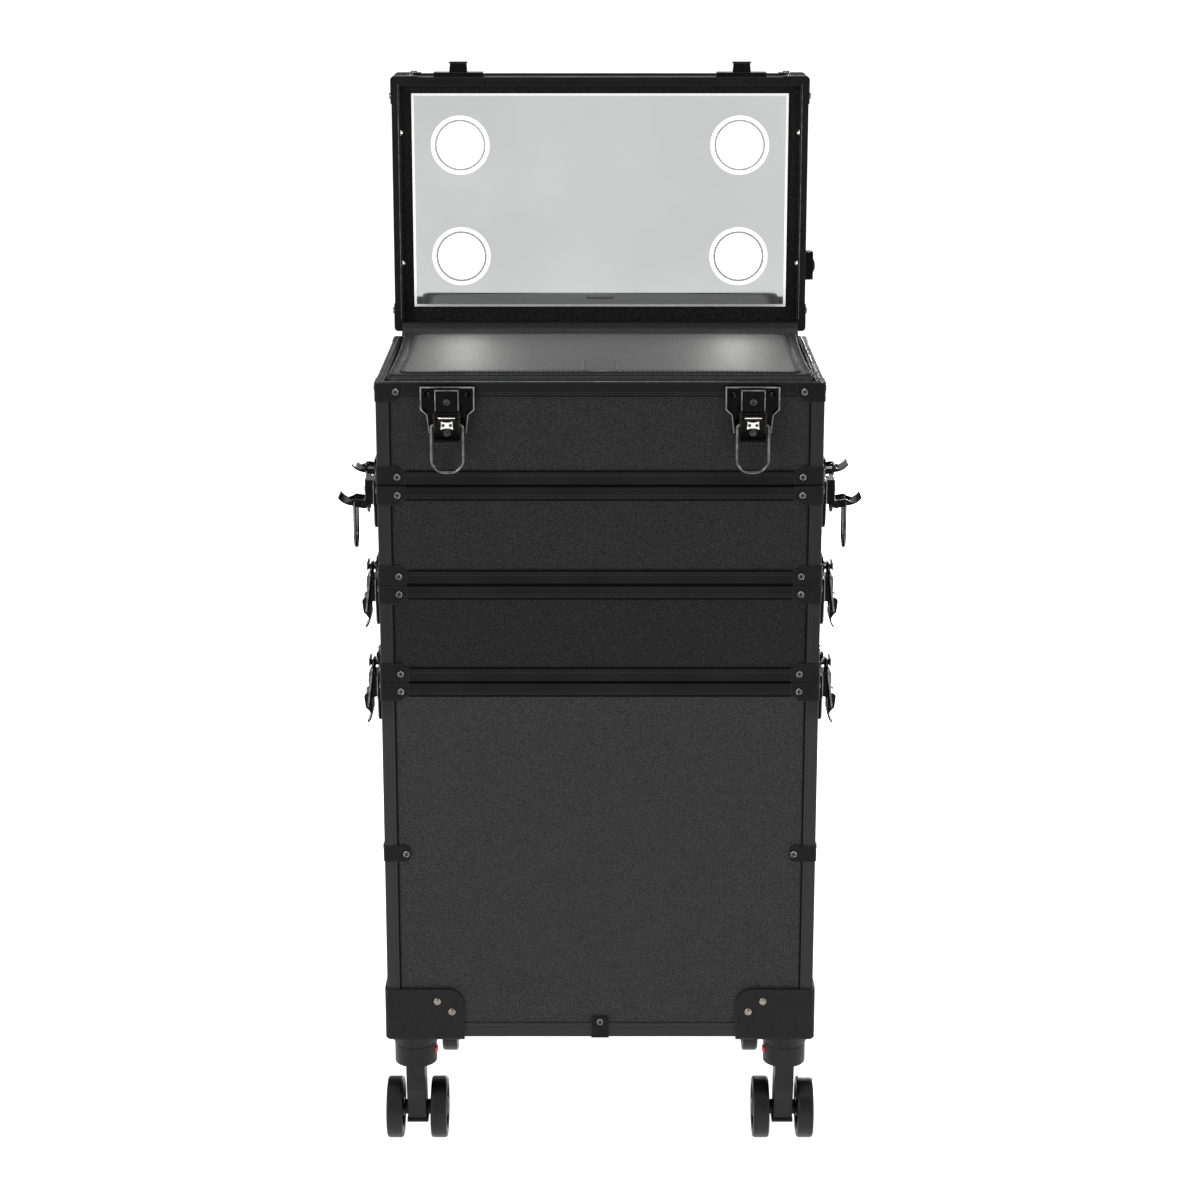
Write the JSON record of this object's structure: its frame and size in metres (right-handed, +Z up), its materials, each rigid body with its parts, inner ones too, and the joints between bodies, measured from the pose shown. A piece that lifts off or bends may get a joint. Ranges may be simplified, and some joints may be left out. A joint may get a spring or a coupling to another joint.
{
  "type": "rolling makeup case",
  "caption": "Upright black rolling trunk of latched stacking tiers on twin-wheel casters, with a padded top, and a lid that stands open with a lit mirror.",
  "frame": {"origin": "on the floor, under the middle of the case", "axes": "+Z up, +X to the right seen from the front, the front faces -Y"},
  "size_m": [0.4308, 0.3148, 0.9094],
  "materials": {
    "laminate": "fine pebbled black laminate on board",
    "edge_metal": "satin black",
    "cap_metal": "matte black",
    "latch_metal": "black nickel with bright edges",
    "wire_steel": "dark nickel",
    "tube_metal": "black anodised",
    "grip_plastic": "fine grain",
    "caster_plastic": "moulded",
    "wheel_rubber": "matte",
    "pad_leather": "satin leatherette",
    "mirror_glass": "silvered",
    "lamp_glass": "white diffuser"
  },
  "bodies": {
    "base": {"base_panels": "laminate", "lower_tray_panels": "laminate", "middle_tray_panels": "laminate", "edge_trims": "edge_metal", "corner_caps": "cap_metal", "caster_corners": "cap_metal", "latch_plates": "latch_metal", "latch_catches": "latch_metal", "trolley_sleeves": "tube_metal"},
    "top_case": {"top_panels": "laminate", "top_edge_frame": "edge_metal", "top_latch_fittings": "latch_metal", "top_hinge_leaves": "cap_metal"},
    "work_pad": {"work_pad": "pad_leather"},
    "lid": {"lid_panels": "laminate", "lid_edge_frame": "edge_metal", "mirror": "mirror_glass", "lamps": "lamp_glass", "lid_fittings": "latch_metal", "lid_hinge_leaves": "cap_metal"},
    "carry_handle": {"carry_handle": "grip_plastic"},
    "light_switch": {"light_switch": "grip_plastic"},
    "trolley": {"trolley_grip": "grip_plastic"},
    "trolley_button": {"trolley_button": "grip_plastic"},
    "fork_front_left": {"fork_front_left": "caster_plastic"},
    "wheels_front_left": {"wheels_front_left": "wheel_rubber"},
    "fork_front_right": {"fork_front_right": "caster_plastic"},
    "wheels_front_right": {"wheels_front_right": "wheel_rubber"},
    "fork_rear_left": {"fork_rear_left": "caster_plastic"},
    "wheels_rear_left": {"wheels_rear_left": "wheel_rubber"},
    "fork_rear_right": {"fork_rear_right": "caster_plastic"},
    "wheels_rear_right": {"wheels_rear_right": "wheel_rubber"},
    "lever_left_front_low": {"lever_left_front_low": "latch_metal"},
    "bail_left_front_low": {"bail_left_front_low": "wire_steel"},
    "lever_left_front_mid": {"lever_left_front_mid": "latch_metal"},
    "bail_left_front_mid": {"bail_left_front_mid": "wire_steel"},
    "lever_left_front_top": {"lever_left_front_top": "latch_metal"},
    "bail_left_front_top": {"bail_left_front_top": "wire_steel"},
    "lever_left_rear_low": {"lever_left_rear_low": "latch_metal"},
    "bail_left_rear_low": {"bail_left_rear_low": "wire_steel"},
    "lever_left_rear_mid": {"lever_left_rear_mid": "latch_metal"},
    "bail_left_rear_mid": {"bail_left_rear_mid": "wire_steel"},
    "lever_left_rear_top": {"lever_left_rear_top": "latch_metal"},
    "bail_left_rear_top": {"bail_left_rear_top": "wire_steel"},
    "lever_right_front_low": {"lever_right_front_low": "latch_metal"},
    "bail_right_front_low": {"bail_right_front_low": "wire_steel"},
    "lever_right_front_mid": {"lever_right_front_mid": "latch_metal"},
    "bail_right_front_mid": {"bail_right_front_mid": "wire_steel"},
    "lever_right_front_top": {"lever_right_front_top": "latch_metal"},
    "bail_right_front_top": {"bail_right_front_top": "wire_steel"},
    "lever_right_rear_low": {"lever_right_rear_low": "latch_metal"},
    "bail_right_rear_low": {"bail_right_rear_low": "wire_steel"},
    "lever_right_rear_mid": {"lever_right_rear_mid": "latch_metal"},
    "bail_right_rear_mid": {"bail_right_rear_mid": "wire_steel"},
    "lever_right_rear_top": {"lever_right_rear_top": "latch_metal"},
    "bail_right_rear_top": {"bail_right_rear_top": "wire_steel"},
    "lever_lid_left": {"lever_lid_left": "latch_metal"},
    "bail_lid_left": {"bail_lid_left": "wire_steel"},
    "lever_lid_right": {"lever_lid_right": "latch_metal"},
    "bail_lid_right": {"bail_lid_right": "wire_steel"}
  },
  "joints": [
    {"name": "top_case_lift", "type": "slide", "parent": "base", "child": "top_case", "axis": [0, 0, 1], "range_m": [0, 0.12]},
    {"name": "lid_hinge", "type": "hinge", "parent": "top_case", "child": "lid", "pos_m": [0, 0.114, 0.6724], "axis": [-1, 0, 0], "range_deg": [-90.5, 0]},
    {"name": "work_pad_lift", "type": "hinge", "parent": "top_case", "child": "work_pad", "pos_m": [0, 0.102, 0.6765], "axis": [-1, 0, 0], "range_deg": [0, 80]},
    {"name": "carry_handle_swing", "type": "hinge", "parent": "lid", "child": "carry_handle", "pos_m": [0, 0.18039, 0.78582], "axis": [1, 0, 0], "range_deg": [-3, 170]},
    {"name": "light_switch_rock", "type": "hinge", "parent": "lid", "child": "light_switch", "pos_m": [0.178, 0.14291, 0.73015], "axis": [0, 1, -0.0087], "range_deg": [-14, 0]},
    {"name": "trolley_slide", "type": "slide", "parent": "base", "child": "trolley", "axis": [0, 0, 1], "range_m": [0, 0.23]},
    {"name": "trolley_button_press", "type": "slide", "parent": "trolley", "child": "trolley_button", "axis": [0, 0, -1], "range_m": [0, 0.004], "stiffness_N_per_m": 400},
    {"name": "swivel_front_left", "type": "hinge", "parent": "base", "child": "fork_front_left", "pos_m": [-0.158, -0.088, 0.09], "axis": [0, 0, 1], "continuous": true},
    {"name": "roll_front_left", "type": "hinge", "parent": "fork_front_left", "child": "wheels_front_left", "pos_m": [-0.158, -0.076, 0.0263], "axis": [1, 0, 0], "continuous": true},
    {"name": "swivel_front_right", "type": "hinge", "parent": "base", "child": "fork_front_right", "pos_m": [0.158, -0.088, 0.09], "axis": [0, 0, 1], "continuous": true},
    {"name": "roll_front_right", "type": "hinge", "parent": "fork_front_right", "child": "wheels_front_right", "pos_m": [0.158, -0.076, 0.0263], "axis": [1, 0, 0], "continuous": true},
    {"name": "swivel_rear_left", "type": "hinge", "parent": "base", "child": "fork_rear_left", "pos_m": [-0.158, 0.088, 0.09], "axis": [0, 0, 1], "continuous": true},
    {"name": "roll_rear_left", "type": "hinge", "parent": "fork_rear_left", "child": "wheels_rear_left", "pos_m": [-0.158, 0.1, 0.0263], "axis": [1, 0, 0], "continuous": true},
    {"name": "swivel_rear_right", "type": "hinge", "parent": "base", "child": "fork_rear_right", "pos_m": [0.158, 0.088, 0.09], "axis": [0, 0, 1], "continuous": true},
    {"name": "roll_rear_right", "type": "hinge", "parent": "fork_rear_right", "child": "wheels_rear_right", "pos_m": [0.158, 0.1, 0.0263], "axis": [1, 0, 0], "continuous": true},
    {"name": "lever_left_front_low_swing", "type": "hinge", "parent": "base", "child": "lever_left_front_low", "pos_m": [-0.194, -0.062, 0.3976], "axis": [0, 1, 0], "range_deg": [0, 100]},
    {"name": "bail_left_front_low_swing", "type": "hinge", "parent": "lever_left_front_low", "child": "bail_left_front_low", "pos_m": [-0.1935, -0.062, 0.3898], "axis": [0, 1, 0], "range_deg": [-84.5, 0.5]},
    {"name": "lever_left_front_mid_swing", "type": "hinge", "parent": "base", "child": "lever_left_front_mid", "pos_m": [-0.194, -0.062, 0.4804], "axis": [0, 1, 0], "range_deg": [0, 100]},
    {"name": "bail_left_front_mid_swing", "type": "hinge", "parent": "lever_left_front_mid", "child": "bail_left_front_mid", "pos_m": [-0.1935, -0.062, 0.4726], "axis": [0, 1, 0], "range_deg": [-84.5, 0.5]},
    {"name": "lever_left_front_top_swing", "type": "hinge", "parent": "base", "child": "lever_left_front_top", "pos_m": [-0.194, -0.062, 0.5632], "axis": [0, 1, 0], "range_deg": [-105, 10]},
    {"name": "bail_left_front_top_swing", "type": "hinge", "parent": "lever_left_front_top", "child": "bail_left_front_top", "pos_m": [-0.20166, -0.062, 0.56474], "axis": [0, 1, 0], "range_deg": [-10.5, 105.5]},
    {"name": "lever_left_rear_low_swing", "type": "hinge", "parent": "base", "child": "lever_left_rear_low", "pos_m": [-0.194, 0.062, 0.3976], "axis": [0, 1, 0], "range_deg": [0, 100]},
    {"name": "bail_left_rear_low_swing", "type": "hinge", "parent": "lever_left_rear_low", "child": "bail_left_rear_low", "pos_m": [-0.1935, 0.062, 0.3898], "axis": [0, 1, 0], "range_deg": [-84.5, 0.5]},
    {"name": "lever_left_rear_mid_swing", "type": "hinge", "parent": "base", "child": "lever_left_rear_mid", "pos_m": [-0.194, 0.062, 0.4804], "axis": [0, 1, 0], "range_deg": [0, 100]},
    {"name": "bail_left_rear_mid_swing", "type": "hinge", "parent": "lever_left_rear_mid", "child": "bail_left_rear_mid", "pos_m": [-0.1935, 0.062, 0.4726], "axis": [0, 1, 0], "range_deg": [-84.5, 0.5]},
    {"name": "lever_left_rear_top_swing", "type": "hinge", "parent": "base", "child": "lever_left_rear_top", "pos_m": [-0.194, 0.062, 0.5632], "axis": [0, 1, 0], "range_deg": [-105, 10]},
    {"name": "bail_left_rear_top_swing", "type": "hinge", "parent": "lever_left_rear_top", "child": "bail_left_rear_top", "pos_m": [-0.20166, 0.062, 0.56474], "axis": [0, 1, 0], "range_deg": [-10.5, 105.5]},
    {"name": "lever_right_front_low_swing", "type": "hinge", "parent": "base", "child": "lever_right_front_low", "pos_m": [0.194, -0.062, 0.3976], "axis": [0, -1, 0], "range_deg": [0, 100]},
    {"name": "bail_right_front_low_swing", "type": "hinge", "parent": "lever_right_front_low", "child": "bail_right_front_low", "pos_m": [0.1935, -0.062, 0.3898], "axis": [0, -1, 0], "range_deg": [-84.5, 0.5]},
    {"name": "lever_right_front_mid_swing", "type": "hinge", "parent": "base", "child": "lever_right_front_mid", "pos_m": [0.194, -0.062, 0.4804], "axis": [0, -1, 0], "range_deg": [0, 100]},
    {"name": "bail_right_front_mid_swing", "type": "hinge", "parent": "lever_right_front_mid", "child": "bail_right_front_mid", "pos_m": [0.1935, -0.062, 0.4726], "axis": [0, -1, 0], "range_deg": [-84.5, 0.5]},
    {"name": "lever_right_front_top_swing", "type": "hinge", "parent": "base", "child": "lever_right_front_top", "pos_m": [0.194, -0.062, 0.5632], "axis": [0, -1, 0], "range_deg": [-105, 10]},
    {"name": "bail_right_front_top_swing", "type": "hinge", "parent": "lever_right_front_top", "child": "bail_right_front_top", "pos_m": [0.20166, -0.062, 0.56474], "axis": [0, -1, 0], "range_deg": [-10.5, 105.5]},
    {"name": "lever_right_rear_low_swing", "type": "hinge", "parent": "base", "child": "lever_right_rear_low", "pos_m": [0.194, 0.062, 0.3976], "axis": [0, -1, 0], "range_deg": [0, 100]},
    {"name": "bail_right_rear_low_swing", "type": "hinge", "parent": "lever_right_rear_low", "child": "bail_right_rear_low", "pos_m": [0.1935, 0.062, 0.3898], "axis": [0, -1, 0], "range_deg": [-84.5, 0.5]},
    {"name": "lever_right_rear_mid_swing", "type": "hinge", "parent": "base", "child": "lever_right_rear_mid", "pos_m": [0.194, 0.062, 0.4804], "axis": [0, -1, 0], "range_deg": [0, 100]},
    {"name": "bail_right_rear_mid_swing", "type": "hinge", "parent": "lever_right_rear_mid", "child": "bail_right_rear_mid", "pos_m": [0.1935, 0.062, 0.4726], "axis": [0, -1, 0], "range_deg": [-84.5, 0.5]},
    {"name": "lever_right_rear_top_swing", "type": "hinge", "parent": "base", "child": "lever_right_rear_top", "pos_m": [0.194, 0.062, 0.5632], "axis": [0, -1, 0], "range_deg": [-105, 10]},
    {"name": "bail_right_rear_top_swing", "type": "hinge", "parent": "lever_right_rear_top", "child": "bail_right_rear_top", "pos_m": [0.20166, 0.062, 0.56474], "axis": [0, -1, 0], "range_deg": [-10.5, 105.5]},
    {"name": "lever_lid_left_swing", "type": "hinge", "parent": "top_case", "child": "lever_lid_left", "pos_m": [-0.122, -0.124, 0.648], "axis": [-1, 0, 0], "range_deg": [0, 100]},
    {"name": "bail_lid_left_swing", "type": "hinge", "parent": "lever_lid_left", "child": "bail_lid_left", "pos_m": [-0.122, -0.1235, 0.6402], "axis": [1, 0, 0], "range_deg": [-186.7, 0]},
    {"name": "lever_lid_right_swing", "type": "hinge", "parent": "top_case", "child": "lever_lid_right", "pos_m": [0.122, -0.124, 0.648], "axis": [-1, 0, 0], "range_deg": [0, 100]},
    {"name": "bail_lid_right_swing", "type": "hinge", "parent": "lever_lid_right", "child": "bail_lid_right", "pos_m": [0.122, -0.1235, 0.6402], "axis": [1, 0, 0], "range_deg": [-186.7, 0]}
  ],
  "couplings": [
    {"joint": "bail_left_front_low_swing", "follows": "lever_left_front_low_swing", "ratio": -0.84},
    {"joint": "bail_left_front_mid_swing", "follows": "lever_left_front_mid_swing", "ratio": -0.84},
    {"joint": "bail_left_front_top_swing", "follows": "lever_left_front_top_swing", "ratio": -1},
    {"joint": "bail_left_rear_low_swing", "follows": "lever_left_rear_low_swing", "ratio": -0.84},
    {"joint": "bail_left_rear_mid_swing", "follows": "lever_left_rear_mid_swing", "ratio": -0.84},
    {"joint": "bail_left_rear_top_swing", "follows": "lever_left_rear_top_swing", "ratio": -1},
    {"joint": "bail_right_front_low_swing", "follows": "lever_right_front_low_swing", "ratio": -0.84},
    {"joint": "bail_right_front_mid_swing", "follows": "lever_right_front_mid_swing", "ratio": -0.84},
    {"joint": "bail_right_front_top_swing", "follows": "lever_right_front_top_swing", "ratio": -1},
    {"joint": "bail_right_rear_low_swing", "follows": "lever_right_rear_low_swing", "ratio": -0.84},
    {"joint": "bail_right_rear_mid_swing", "follows": "lever_right_rear_mid_swing", "ratio": -0.84},
    {"joint": "bail_right_rear_top_swing", "follows": "lever_right_rear_top_swing", "ratio": -1}
  ]
}
